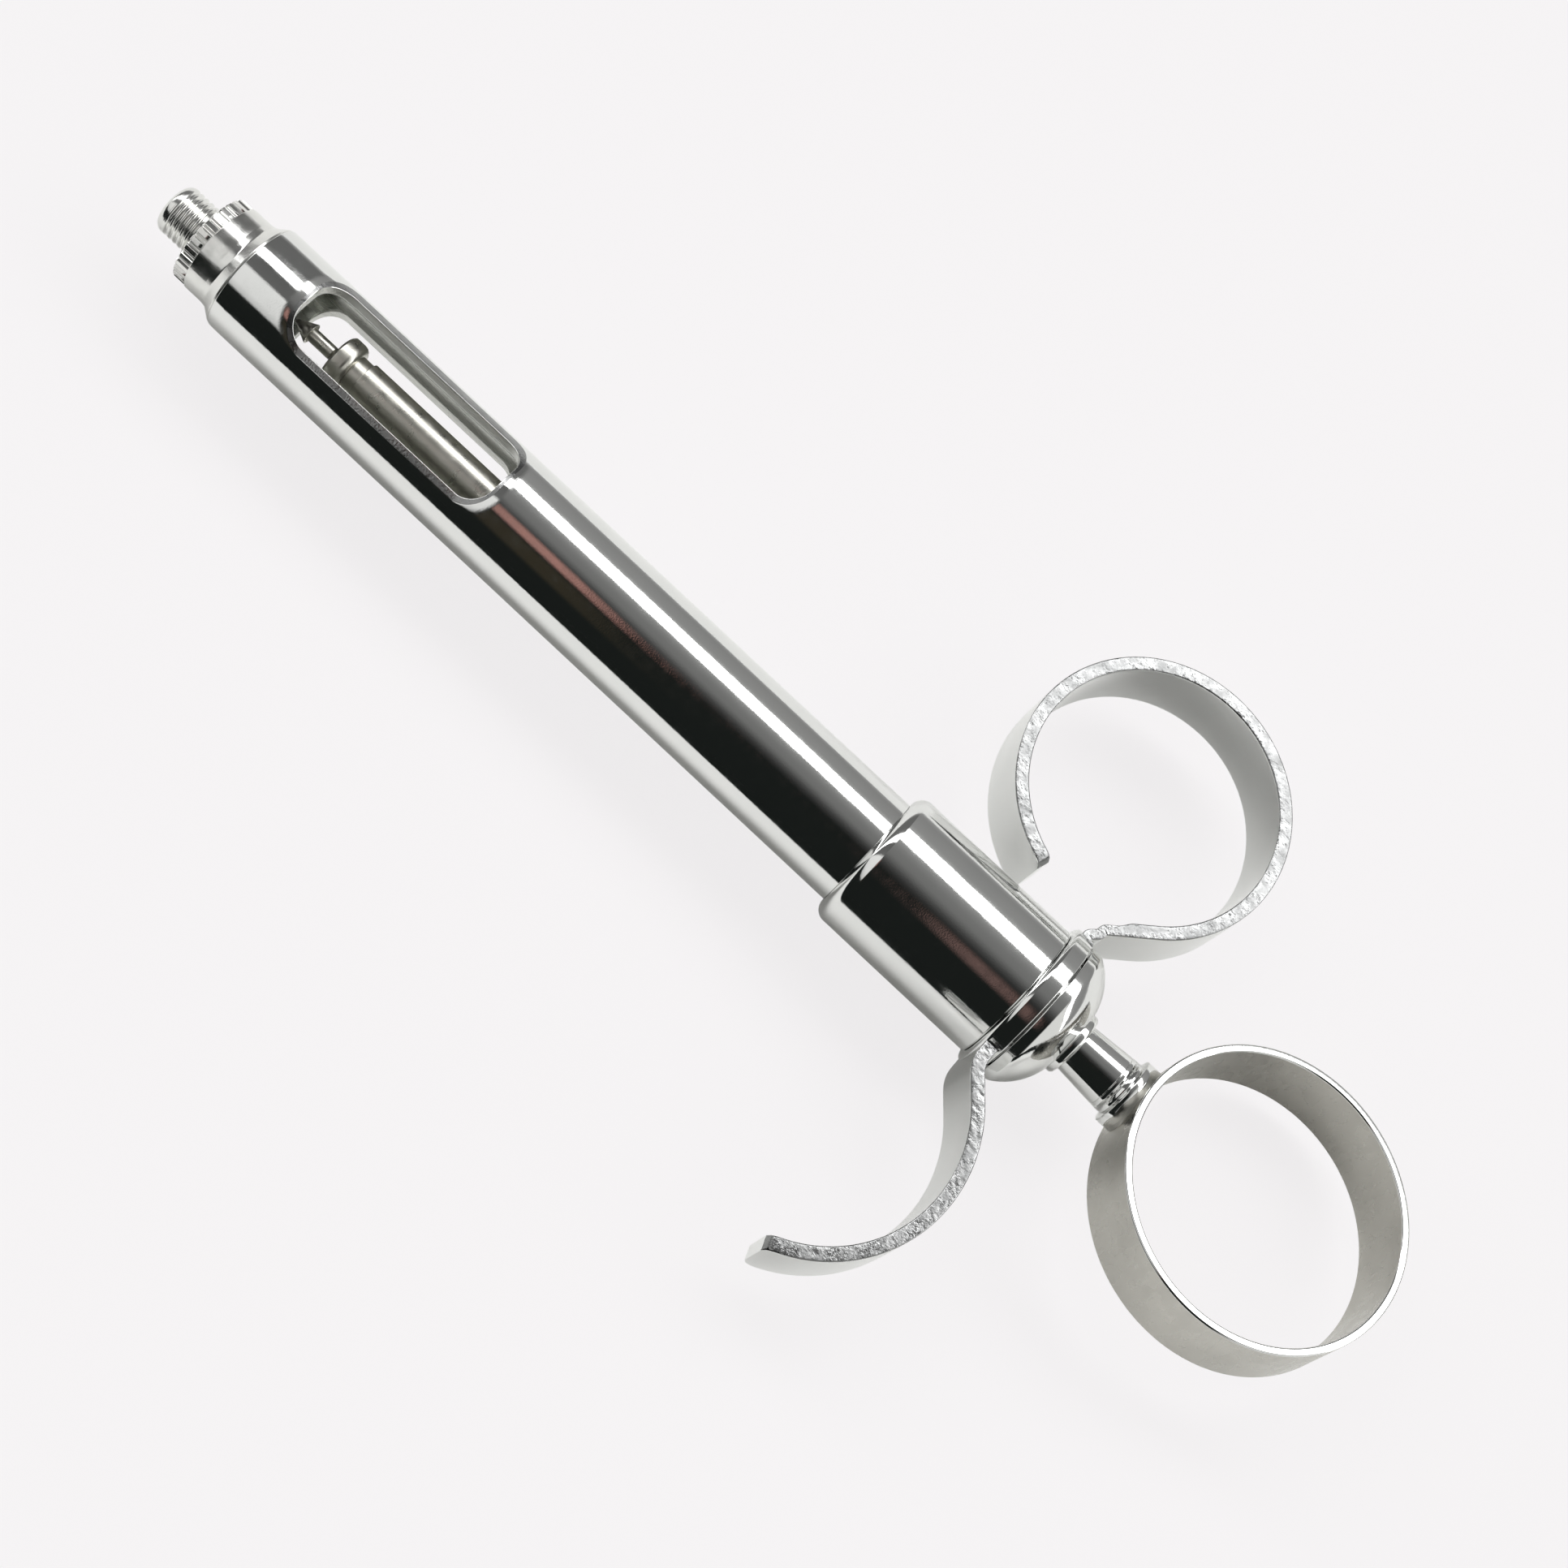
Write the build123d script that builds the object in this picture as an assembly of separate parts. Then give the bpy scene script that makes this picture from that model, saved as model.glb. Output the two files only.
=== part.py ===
from build123d import *
import math
import os

# Dental aspirating syringe for a glass cartridge, with its plunger pushed home.
# It lies along X. The needle hub seats at x = 0 on the barrel's axis, the thumb ring is
# at +X, the finger ring is at +Y, the finger hook at -Y, and +Z is square to their plane.
# Lengths along X are stacked from the needle seat towards the thumb ring.

# Needle adapter
needle_thread_d = 5.5
needle_thread_length = 4.8
needle_thread_end_radius = 0.9
needle_hole_d = 2.4
knurl_d = 10.1
knurl_length = 1.6
knurl_teeth = 29
knurl_tooth_depth = 0.35
knurl_land_share = 0.35
nose_d = 10.3
nose_length = 2.6
flare_length = 1.6
flare_step = 0.1
adapter_plug_length = 4.5
cartridge_floor_depth = 0.3

# Barrel
barrel_d = 12.5
barrel_wall = 1.45
barrel_bore_d = barrel_d - 2 * barrel_wall
barrel_length = 83.2
barrel_rim_chamfer = 0.25
adapter_plug_step = 0.6
adapter_plug_d = barrel_bore_d + 2 * adapter_plug_step
cartridge_neck_step = 0.35
cartridge_neck_d = barrel_bore_d - 2 * cartridge_neck_step
barrel_plug_step = 0.55
barrel_plug_d = barrel_d - 2 * barrel_plug_step
barrel_plug_length = 5.0
window_ledge = 0.65
window_width = barrel_bore_d - 2 * window_ledge
window_length = 25.8
window_from_front = 6.9
window_front_flat = 2.3
window_rear_flat = 3.1
lower_window_turn = 16.0
lower_window_lead = 0.9

# Housing behind the barrel
housing_d = 15.7
housing_length = 20.2
housing_shoulder_radius = 1.4
housing_rear_chamfer = 0.25
chamber_d = 13.2
screw_fit = 0.03

# Cartridge seat and its spring
cartridge_room = 63.9
seat_sleeve_fit = 0.1
seat_tip_clearance = 0.5
seat_flange_fit = 0.3
seat_flange_d = chamber_d - 2 * seat_flange_fit
seat_flange_thickness = 1.4
seat_flange_gap = 0.05
spring_wire_d = 0.9
spring_fit = 0.65
spring_outer_d = chamber_d - 2 * spring_fit
spring_turns = 4.5
spring_washer_fit = 0.2
spring_washer_d = chamber_d - 2 * spring_washer_fit
spring_washer_hole_fit = 0.45
spring_washer_thickness = 0.8

# Finger grip
plate_d = 17.6
plate_thickness = 2.15
plate_front_radius = 0.6
strip_width = 8.4
strip_thickness = 1.5
strip_corner_radius = 1.2
strip_bend_radius = 3.0
finger_ring_d = 30.0
finger_ring_ahead_of_plate = 2.65
finger_ring_offset = 24.4
finger_ring_arm_angle = -50.0
finger_ring_end_angle = 254.3
ring_arm_step_from = 8.1
ring_arm_step_length = 0.9
ring_arm_step_back = 0.55
ring_arm_relief = 0.35
ring_arm_relief_length = 2.0
ring_arm_relief_runout = 0.8
hook_radius = 15.4
hook_ahead_of_plate = 8.2
hook_offset = 22.9
hook_arm_angle = 40.0
hook_end_angle = -70.3

# Rear cap
cap_boss_fit = 0.1
cap_boss_d = chamber_d - 2 * cap_boss_fit
cap_boss_length = 4.0
cap_groove_step = 0.7
cap_groove_d = cap_boss_d + 2 * cap_groove_step
cap_groove_width = 0.3
cap_d = 16.6
cap_rim_length = 1.2
cap_dome_length = 3.3
cap_dome_radius = 6.9
cap_dome_end_d = 8.0

# Guide bush and friction ring
rod_d = 4.3
rod_fit = 0.05
bush_wall = 1.0
bush_d = rod_d + 2 * rod_fit + 2 * bush_wall
bush_length = 9.0
bush_collar_step = 0.35
bush_collar_d = bush_d + 2 * bush_collar_step
bush_collar_length = 0.85
bush_collar_radius = 0.35
friction_ring_section_d = 1.5
friction_ring_fit = 0.03

# Plunger
rod_neck_depth = 0.25
rod_neck_d = rod_d - 2 * rod_neck_depth
rod_neck_length = 1.3
rod_tap_d = 2.6
rod_tap_depth = 6.0
stopper_room = 11.9
plunger_travel = 60.0
travel_spare = 0.5
tip_disc_gap = 2.0
tip_disc_d = barrel_bore_d - 2 * tip_disc_gap
tip_disc_thickness = 2.1
tip_front_chamfer = 0.25
tip_rear_radius = 0.8
tip_tap_d = 1.2
harpoon_shaft_d = 1.5
harpoon_shaft_length = 3.2
harpoon_neck_d = 1.1
harpoon_neck_length = 0.6
harpoon_barb_d = 2.6
harpoon_barb_undercut = 0.6
harpoon_point_length = 2.0
harpoon_root_length = 1.8
stop_sleeve_front_wall = 0.55
stop_sleeve_rear_wall = 0.95
stop_sleeve_rear_d = rod_d + 2 * stop_sleeve_rear_wall
stop_sleeve_length = 5.45
stop_gap = 0.05
ring_boss_neck_length = 0.65
ring_boss_flare_length = 0.15
ring_boss_d = 7.7
ring_boss_socket_depth = 1.3
ring_boss_web = 0.85

# Thumb ring
thumb_ring_d = 31.5
thumb_ring_wall = 0.85
thumb_ring_width = 8.35
thumb_ring_edge_radius = 0.2
thumb_ring_turn = -9.2

# Places along the axis
knurl_end = knurl_length
nose_end = knurl_end + nose_length
barrel_front = nose_end + flare_length
barrel_rear = barrel_front + barrel_length
barrel_plug_rear = barrel_rear + barrel_plug_length
housing_rear = barrel_rear + housing_length
plate_rear = housing_rear + plate_thickness
cap_boss_front = housing_rear - cap_boss_length
cap_rim_front = plate_rear + cap_groove_width
cap_rim_rear = cap_rim_front + cap_rim_length
cap_rear = cap_rim_rear + cap_dome_length
bush_front = cap_rear - bush_length
bush_rear = cap_rear + bush_collar_length
cartridge_front = barrel_front - cartridge_floor_depth
seat_front = cartridge_front + cartridge_room
seat_flange_front = barrel_plug_rear + seat_flange_gap
seat_flange_rear = seat_flange_front + seat_flange_thickness
spring_washer_front = cap_boss_front - spring_washer_thickness
stop_sleeve_front = bush_rear + stop_gap
ring_boss_front = stop_sleeve_front + stop_sleeve_length
ring_boss_rim = ring_boss_front + ring_boss_neck_length + ring_boss_flare_length
rod_rear = ring_boss_front + ring_boss_socket_depth
tip_disc_front = cartridge_front + stopper_room
tip_disc_rear = tip_disc_front + tip_disc_thickness
rod_front = tip_disc_rear
thumb_ring_front = rod_rear + ring_boss_web
thumb_ring_centre = thumb_ring_front + thumb_ring_d / 2
gland_rear = bush_front
gland_d = rod_d + 2 * friction_ring_section_d + 4 * friction_ring_fit
gland_length = friction_ring_section_d + 2 * friction_ring_fit

SAME_PLACE = 0.001


def turned(*outline):
    """Solid turned about X from (x, radius) corners."""
    return revolve(make_face(Polyline(*outline, close=True)), Axis.X, 360)


def tube(x_from, x_to, outer_d, inner_d):
    """Round tube along X."""
    outer, inner = outer_d / 2, inner_d / 2
    return turned((x_from, inner), (x_to, inner), (x_to, outer), (x_from, outer))


def bar(x_from, x_to, diameter):
    """Round bar along X."""
    return turned((x_from, 0), (x_to, 0), (x_to, diameter / 2), (x_from, diameter / 2))


def rim(solid, x, diameter):
    """Circular edges of one diameter at one place along X."""
    circles = solid.edges().filter_by(GeomType.CIRCLE)
    return [
        edge
        for edge in circles
        if abs(edge.arc_center.X - x) < SAME_PLACE and abs(edge.radius - diameter / 2) < SAME_PLACE
    ]


def knurl_collar():
    """Collar with straight teeth round its edge."""
    outer = knurl_d / 2
    step = 2 * math.pi / knurl_teeth
    corners = []
    for tooth in range(knurl_teeth):
        start = tooth * step
        land_end = start + step * knurl_land_share
        groove = (land_end + start + step) / 2
        for angle, radius in ((start, outer), (land_end, outer), (groove, outer - knurl_tooth_depth)):
            corners.append((radius * math.cos(angle), radius * math.sin(angle)))
    return extrude(Plane.YZ * make_face(Polyline(*corners, close=True)), knurl_length)


def make_needle_adapter():
    """Screw-in nose with the thread that takes the needle hub."""
    thread = bar(-needle_thread_length, 0, needle_thread_d)
    thread = fillet(rim(thread, -needle_thread_length, needle_thread_d), needle_thread_end_radius)
    nose = turned(
        (knurl_end, 0),
        (knurl_end, nose_d / 2),
        (nose_end, nose_d / 2),
        (barrel_front, barrel_d / 2 - flare_step),
        (barrel_front, adapter_plug_d / 2),
        (barrel_front + adapter_plug_length, adapter_plug_d / 2),
        (barrel_front + adapter_plug_length, 0),
    )
    recess = bar(cartridge_front, barrel_front + adapter_plug_length, cartridge_neck_d)
    hole = bar(-needle_thread_length, cartridge_front, needle_hole_d)
    return thread + knurl_collar() + nose - recess - hole


def window_cutter(lead, turn):
    """Rounded slot through one wall of the barrel, at a turn about the axis."""
    length = window_length + lead
    middle = barrel_front + window_from_front - lead + length / 2
    slot = Pos(middle, 0) * Rectangle(length, window_width)
    slot = fillet(slot.vertices().group_by(Axis.X)[0], (window_width - window_front_flat) / 2)
    slot = fillet(slot.vertices().group_by(Axis.X)[-1], (window_width - window_rear_flat) / 2)
    return Rot(X=turn) * extrude(slot, barrel_d)


def make_barrel():
    """Tube that holds the cartridge, with a viewing window through each side."""
    body = tube(barrel_front, barrel_rear, barrel_d, barrel_bore_d)
    body = chamfer(rim(body, barrel_front, barrel_d), barrel_rim_chamfer)
    plug = tube(barrel_rear, barrel_plug_rear, barrel_plug_d, barrel_bore_d)
    socket = bar(barrel_front, barrel_front + adapter_plug_length, adapter_plug_d)
    upper = window_cutter(0, 0)
    lower = window_cutter(lower_window_lead, 180 + lower_window_turn)
    return body + plug - socket - upper - lower


def make_housing():
    """Plain sleeve that the barrel screws into, with the spring chamber behind."""
    body = bar(barrel_rear, housing_rear, housing_d)
    body = fillet(rim(body, barrel_rear, housing_d), housing_shoulder_radius)
    body = chamfer(rim(body, housing_rear, housing_d), housing_rear_chamfer)
    socket = bar(barrel_rear, barrel_plug_rear, barrel_plug_d + 2 * screw_fit)
    chamber = bar(barrel_plug_rear, housing_rear, chamber_d)
    return body - socket - chamber


def make_cartridge_seat():
    """Sliding sleeve that presses the cartridge forward and takes the plunger's tip."""
    outer = barrel_bore_d / 2 - seat_sleeve_fit
    step = tip_disc_rear + plunger_travel + travel_spare
    front_bore = tip_disc_d / 2 + seat_tip_clearance
    rear_bore = rod_d / 2 + rod_fit
    return turned(
        (seat_front, front_bore),
        (seat_front, outer),
        (seat_flange_front, outer),
        (seat_flange_front, seat_flange_d / 2),
        (seat_flange_rear, seat_flange_d / 2),
        (seat_flange_rear, rear_bore),
        (step, rear_bore),
        (step, front_bore),
    )


def make_seat_spring():
    """Compression spring between the seat's flange and the washer."""
    wire = spring_wire_d / 2
    length = spring_washer_front - seat_flange_rear - spring_wire_d
    path = Helix(
        pitch=length / spring_turns,
        height=length,
        radius=spring_outer_d / 2 - wire,
        center=(seat_flange_rear + wire, 0, 0),
        direction=(1, 0, 0),
    )
    return sweep(Plane(origin=path @ 0, z_dir=path % 0) * Circle(wire), path)


def make_spring_washer():
    """Washer that backs the spring and keeps the friction ring in its gland."""
    hole_d = rod_d + 2 * spring_washer_hole_fit
    return tube(spring_washer_front, cap_boss_front, spring_washer_d, hole_d)


def strip(middle_line):
    """Strip of the grip's width and thickness along a line in the plane of the rings."""
    return extrude(trace(middle_line, strip_thickness), strip_width / 2, both=True)


def round_free_end(solid, end):
    """Rounds the two corners of a strip's free end."""
    corners = [
        edge
        for edge in solid.edges().filter_by(GeomType.LINE)
        if abs(edge.length - strip_thickness) < SAME_PLACE
        and abs((edge.center() - end).X) < strip_thickness
        and abs((edge.center() - end).Y) < strip_thickness
    ]
    return fillet(corners, strip_corner_radius)


def ring_arm():
    """Finger ring with the arm that steps back from the plate."""
    plate_middle = housing_rear + plate_thickness / 2
    radius = (finger_ring_d - strip_thickness) / 2
    centre = Vector(plate_middle - finger_ring_ahead_of_plate - plate_thickness / 2, finger_ring_offset)
    sweep_angle = finger_ring_end_angle - finger_ring_arm_angle
    loop = CenterArc(centre, radius, finger_ring_arm_angle, sweep_angle)
    back = plate_rear + ring_arm_step_back - strip_thickness / 2
    lean = (loop @ 0 - Vector(back, 0)).X / (loop % 0).X
    corner = loop @ 0 - loop % 0 * lean
    arm = FilletPolyline(
        (plate_middle, ring_arm_step_from - strip_thickness),
        (plate_middle, ring_arm_step_from),
        (back, ring_arm_step_from + ring_arm_step_length),
        (back, corner.Y),
        loop @ 0,
        radius=[strip_thickness / 2, strip_thickness / 2, strip_thickness / 2 + SAME_PLACE],
    )
    return round_free_end(strip(arm + loop), loop @ 1) - ring_arm_relief_cutter(back)


def ring_arm_relief_cutter(back):
    """Wedge that thins the ring's arm on its front side, just above the plate."""
    face = back - strip_thickness / 2
    start = plate_d / 2 + SAME_PLACE
    end = start + ring_arm_relief_length
    outline = Polyline(
        (housing_rear, start),
        (face + ring_arm_relief, start),
        (face + ring_arm_relief, end),
        (face, end + ring_arm_relief_runout),
        (housing_rear, end + ring_arm_relief_runout),
        close=True,
    )
    return extrude(make_face(outline), strip_width, both=True)


def hook_arm():
    """Finger hook on the other side of the plate."""
    plate_middle = housing_rear + plate_thickness / 2
    centre = Vector(plate_middle - hook_ahead_of_plate - plate_thickness / 2, -hook_offset)
    curve = CenterArc(centre, hook_radius, hook_arm_angle, hook_end_angle - hook_arm_angle)
    lean = (curve @ 0 - Vector(plate_middle, 0)).X / (curve % 0).X
    corner = curve @ 0 - curve % 0 * lean
    root = (plate_middle, -cap_boss_d / 2)
    arm = FilletPolyline(root, corner, curve @ 0, radius=strip_bend_radius)
    return round_free_end(strip(arm + curve), curve @ 1)


def make_finger_grip():
    """Plate with the finger ring and the hook, bent from one strip."""
    plate = bar(housing_rear, plate_rear, plate_d)
    plate = fillet(rim(plate, housing_rear, plate_d), plate_front_radius)
    hole = bar(housing_rear - strip_width, plate_rear + strip_width, cap_boss_d + 2 * screw_fit)
    return plate + ring_arm() + hook_arm() - hole


def make_rear_cap():
    """Domed cap whose boss screws into the housing and clamps the grip."""
    dome_start = (cap_rim_rear, cap_d / 2)
    dome_end = (cap_rear, cap_dome_end_d / 2)
    outline = Polyline(
        (cap_rear, 0),
        (cap_boss_front, 0),
        (cap_boss_front, cap_boss_d / 2),
        (plate_rear, cap_boss_d / 2),
        (plate_rear, cap_groove_d / 2),
        (cap_rim_front, cap_groove_d / 2),
        (cap_rim_front, cap_d / 2),
        dome_start,
    )
    dome = RadiusArc(dome_start, dome_end, cap_dome_radius)
    rear = Line(dome_end, (cap_rear, 0))
    body = revolve(make_face(outline + dome + rear), Axis.X, 360)
    bush_hole = bar(bush_front, cap_rear, bush_d)
    front_hole = bar(cap_boss_front, bush_front, gland_d)
    return body - bush_hole - front_hole


def make_guide_bush():
    """Bush that guides the plunger rod, with its collar behind the cap."""
    body = bar(bush_front, cap_rear, bush_d) + bar(cap_rear, bush_rear, bush_collar_d)
    body = fillet(rim(body, bush_rear, bush_collar_d), bush_collar_radius)
    return body - bar(bush_front, bush_rear, rod_d + 2 * rod_fit)


def make_friction_ring():
    """Rubber ring that grips the rod so that the plunger stays where it is put."""
    minor = friction_ring_section_d / 2
    major = rod_d / 2 + friction_ring_fit + minor
    centre = gland_rear - gland_length / 2
    return Pos(centre, 0, 0) * Rot(Y=90) * Torus(major, minor)


def make_plunger_rod():
    """Plunger rod with a relieved neck and a tapped hole at its front."""
    neck_rear = rod_front + rod_neck_length
    body = bar(rod_front, neck_rear, rod_neck_d) + bar(neck_rear, rod_rear, rod_d)
    return body - bar(rod_front, rod_front + rod_tap_depth, rod_tap_d)


def make_plunger_tip():
    """Disc that pushes the cartridge's stopper, with the stud that screws into the rod."""
    disc = bar(tip_disc_front, tip_disc_rear, tip_disc_d)
    disc = chamfer(rim(disc, tip_disc_front, tip_disc_d), tip_front_chamfer)
    disc = fillet(rim(disc, tip_disc_rear, tip_disc_d), tip_rear_radius)
    stud = bar(tip_disc_rear, tip_disc_rear + rod_tap_depth, rod_tap_d)
    hole = bar(tip_disc_front, tip_disc_front + harpoon_root_length, tip_tap_d)
    return disc + stud - hole


def make_harpoon():
    """Barbed pin that hooks into the stopper, so that pulling back aspirates."""
    shaft = harpoon_shaft_d / 2
    neck = harpoon_neck_d / 2
    neck_front = tip_disc_front - harpoon_neck_length
    barb_root = neck_front - harpoon_shaft_length
    barb_edge = barb_root + harpoon_barb_undercut
    return turned(
        (barb_root - harpoon_point_length, 0),
        (barb_edge, harpoon_barb_d / 2),
        (barb_root, shaft),
        (neck_front, shaft),
        (neck_front + harpoon_neck_length / 2, neck),
        (tip_disc_front, neck),
        (tip_disc_front, tip_tap_d / 2),
        (tip_disc_front + harpoon_root_length, tip_tap_d / 2),
        (tip_disc_front + harpoon_root_length, 0),
    )


def make_stop_sleeve():
    """Slightly tapered sleeve on the rod that meets the bush when the plunger is home."""
    return turned(
        (stop_sleeve_front, rod_d / 2),
        (ring_boss_front, rod_d / 2),
        (ring_boss_front, stop_sleeve_rear_d / 2),
        (stop_sleeve_front, rod_d / 2 + stop_sleeve_front_wall),
    )


def thumb_ring_cylinder(diameter, width):
    """Solid cylinder on the thumb ring's axis."""
    return Rot(X=thumb_ring_turn) * Pos(thumb_ring_centre, 0, 0) * Cylinder(diameter / 2, width)


def make_ring_boss():
    """Flanged boss on the rod's end, hollowed at the back to seat the thumb ring."""
    body = turned(
        (ring_boss_front, 0),
        (ring_boss_front, stop_sleeve_rear_d / 2),
        (ring_boss_front + ring_boss_neck_length, stop_sleeve_rear_d / 2),
        (ring_boss_rim, ring_boss_d / 2),
        (thumb_ring_centre, ring_boss_d / 2),
        (thumb_ring_centre, 0),
    )
    socket = bar(ring_boss_front, rod_rear, rod_d)
    return body - socket - thumb_ring_cylinder(thumb_ring_d, ring_boss_d * 2)


def make_thumb_ring():
    """Thin wide band for the thumb."""
    outer = thumb_ring_cylinder(thumb_ring_d, thumb_ring_width)
    inner_d = thumb_ring_d - 2 * thumb_ring_wall
    band = outer - thumb_ring_cylinder(inner_d, thumb_ring_width * 2)
    return fillet(band.edges().filter_by(GeomType.CIRCLE), thumb_ring_edge_radius)


nodes = {
    "needle_adapter": make_needle_adapter,
    "barrel": make_barrel,
    "housing": make_housing,
    "cartridge_seat": make_cartridge_seat,
    "seat_spring": make_seat_spring,
    "spring_washer": make_spring_washer,
    "finger_grip": make_finger_grip,
    "rear_cap": make_rear_cap,
    "guide_bush": make_guide_bush,
    "friction_ring": make_friction_ring,
    "plunger_rod": make_plunger_rod,
    "plunger_tip": make_plunger_tip,
    "harpoon": make_harpoon,
    "stop_sleeve": make_stop_sleeve,
    "ring_boss": make_ring_boss,
    "thumb_ring": make_thumb_ring,
}

os.makedirs("parts", exist_ok=True)
for name, make in nodes.items():
    export_step(make(), f"parts/{name}.step")
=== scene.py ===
import math

import bpy
import numpy as np
from mathutils import Matrix, Vector, noise


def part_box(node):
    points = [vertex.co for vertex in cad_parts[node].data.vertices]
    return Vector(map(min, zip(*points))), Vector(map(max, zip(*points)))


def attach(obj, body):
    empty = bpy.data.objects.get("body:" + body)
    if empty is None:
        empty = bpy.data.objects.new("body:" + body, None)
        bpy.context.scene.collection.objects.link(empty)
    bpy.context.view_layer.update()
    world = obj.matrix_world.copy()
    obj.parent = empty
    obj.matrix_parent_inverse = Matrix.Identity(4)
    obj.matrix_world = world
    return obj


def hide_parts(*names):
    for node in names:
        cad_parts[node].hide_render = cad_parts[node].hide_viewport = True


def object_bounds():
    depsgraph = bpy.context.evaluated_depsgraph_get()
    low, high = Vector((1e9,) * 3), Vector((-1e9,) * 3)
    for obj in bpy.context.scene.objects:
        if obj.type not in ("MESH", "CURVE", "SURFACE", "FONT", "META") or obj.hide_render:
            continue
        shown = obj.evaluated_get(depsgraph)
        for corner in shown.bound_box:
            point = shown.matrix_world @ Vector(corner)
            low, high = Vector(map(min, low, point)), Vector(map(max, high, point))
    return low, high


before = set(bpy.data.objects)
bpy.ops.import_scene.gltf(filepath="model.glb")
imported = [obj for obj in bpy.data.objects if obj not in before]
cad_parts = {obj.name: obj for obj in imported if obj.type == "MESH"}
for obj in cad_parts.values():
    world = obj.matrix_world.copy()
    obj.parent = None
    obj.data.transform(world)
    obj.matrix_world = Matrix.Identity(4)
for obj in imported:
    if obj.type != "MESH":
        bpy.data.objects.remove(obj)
cad_low, cad_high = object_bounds()

# Looks of a dental aspirating syringe. Lengths are in millimetres until a mesh is made.
MM = 0.001
RADIAL = 144
ON_AXIS = 1e-6

# Needle adapter
THREAD_PITCH = 0.66
THREAD_DEPTH = 0.24
THREAD_R = 2.75
THREAD_END_RADIUS = 0.9
THREAD_SMOOTH_END = 0.9
THREAD_FADE_IN = 0.5
THREAD_FADE_OUT = 0.2
THREAD_CLEAR = 0.12
THREAD_SHARPNESS = 1.4
NEEDLE_HOLE_D = 2.4
KNURL_D = 10.1
KNURL_LENGTH = 1.6
KNURL_TEETH = 29
KNURL_DEPTH = 0.34
NOSE_D = 10.3
NOSE_LENGTH = 2.6
FLARE_STEP = 0.1
ADAPTER_PLUG_STEP = 0.6

# Barrel
BARREL_BORE_D = 9.6
BARREL_PLUG_STEP = 0.55
BARREL_LIP_LENGTH = 1.3
BARREL_LIP_DROP = 0.035
WINDOW_LENGTH = 25.8
WINDOW_FROM_FRONT = 6.9
WINDOW_LEDGE = 0.65
WINDOW_FRONT_FLAT = 2.3
WINDOW_REAR_FLAT = 3.1
LOWER_WINDOW_TURN = 16.0
LOWER_WINDOW_LEAD = 0.9
WINDOW_ROLL_WIDTH = 1.1
WINDOW_ROLL_DROP = 0.05
WINDOW_BEVEL_WIDTH_WIDE = 1.3
WINDOW_BEVEL_WIDTH_SIDE = 0.7
WINDOW_BEVEL_WIDTH_END = 0.4
WINDOW_BEVEL_DROP_SIDE = 0.18
WINDOW_BEVEL_DROP_END = 0.08
WINDOW_EDGE_RADIUS = 0.07
WINDOW_CLEAR_OF_ENDS = 2.4
WINDOW_SEAM_ANGLE = 82.0
WINDOW_SAMPLES = (60, 80)
WINDOW_CORNER_SHARE = 58.0
CHROME_SLOT, EDGE_SLOT, WALL_SLOT, BORE_SLOT = range(4)
OUTSIDE_ROWS = 20
ROLL_ROWS = 10
BEVEL_ROWS = 8
EDGE_ROWS = 5
WALL_ROWS = 7
BORE_ROWS = 14

# Housing
HOUSING_SOCKET_STEP = 0.52
HOUSING_CHAMBER_R = 6.6
HOUSING_SHOULDER_RADIUS = 1.4
HOUSING_REAR_RADIUS = 0.25

# Finger grip
PLATE_THICKNESS = 2.15
PLATE_D = 17.6
PLATE_HOLE_R = 6.53
PLATE_FRONT_RADIUS = 0.6
STRIP_WIDTH = 8.4
STRIP_THICKNESS = 1.5
STRIP_END_RADIUS = 1.2
STRIP_BEND_RADIUS = 3.0
STRIP_CORNER_RADIUS = 0.16
STRIP_SPACING = 0.3
STRIP_SECTION_SPACING = 0.24
STRIP_ROUGHNESS = 0.07
STRIP_ROUGH_BAND = 0.2
ROUGH_COARSE = 2.6
ROUGH_FINE = 6.0
ROUGH_FINE_SHARE = 0.6
FINGER_RING_D = 30.0
FINGER_RING_AHEAD = 2.65
FINGER_RING_OFFSET = 24.4
FINGER_RING_ARM_ANGLE = -50.0
FINGER_RING_END_ANGLE = 254.3
RING_ARM_STEP_FROM = 8.1
RING_ARM_STEP_LENGTH = 0.9
RING_ARM_STEP_BACK = 0.55
RING_ARM_RELIEF = 0.35
RING_ARM_RELIEF_LENGTH = 2.0
RING_ARM_RELIEF_RUNOUT = 0.8
HOOK_RADIUS = 15.4
HOOK_AHEAD = 8.2
HOOK_OFFSET = 22.9
HOOK_ARM_ANGLE = 40.0
HOOK_END_ANGLE = -70.3
HOOK_ARM_START = -6.5

# Cap and bush
CAP_BOSS_R = 6.5
CAP_GROOVE_WIDTH = 0.3
CAP_GROOVE_D = 14.4
CAP_RIM_LENGTH = 1.2
CAP_RIM_RADIUS = 0.9
CAP_DOME_RADIUS = 6.9
CAP_DOME_END_D = 8.0
CAP_DOME_SPACING = 0.22
BUSH_COLLAR_STEP = 0.35
BUSH_ROD_FIT = 0.05

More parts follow.
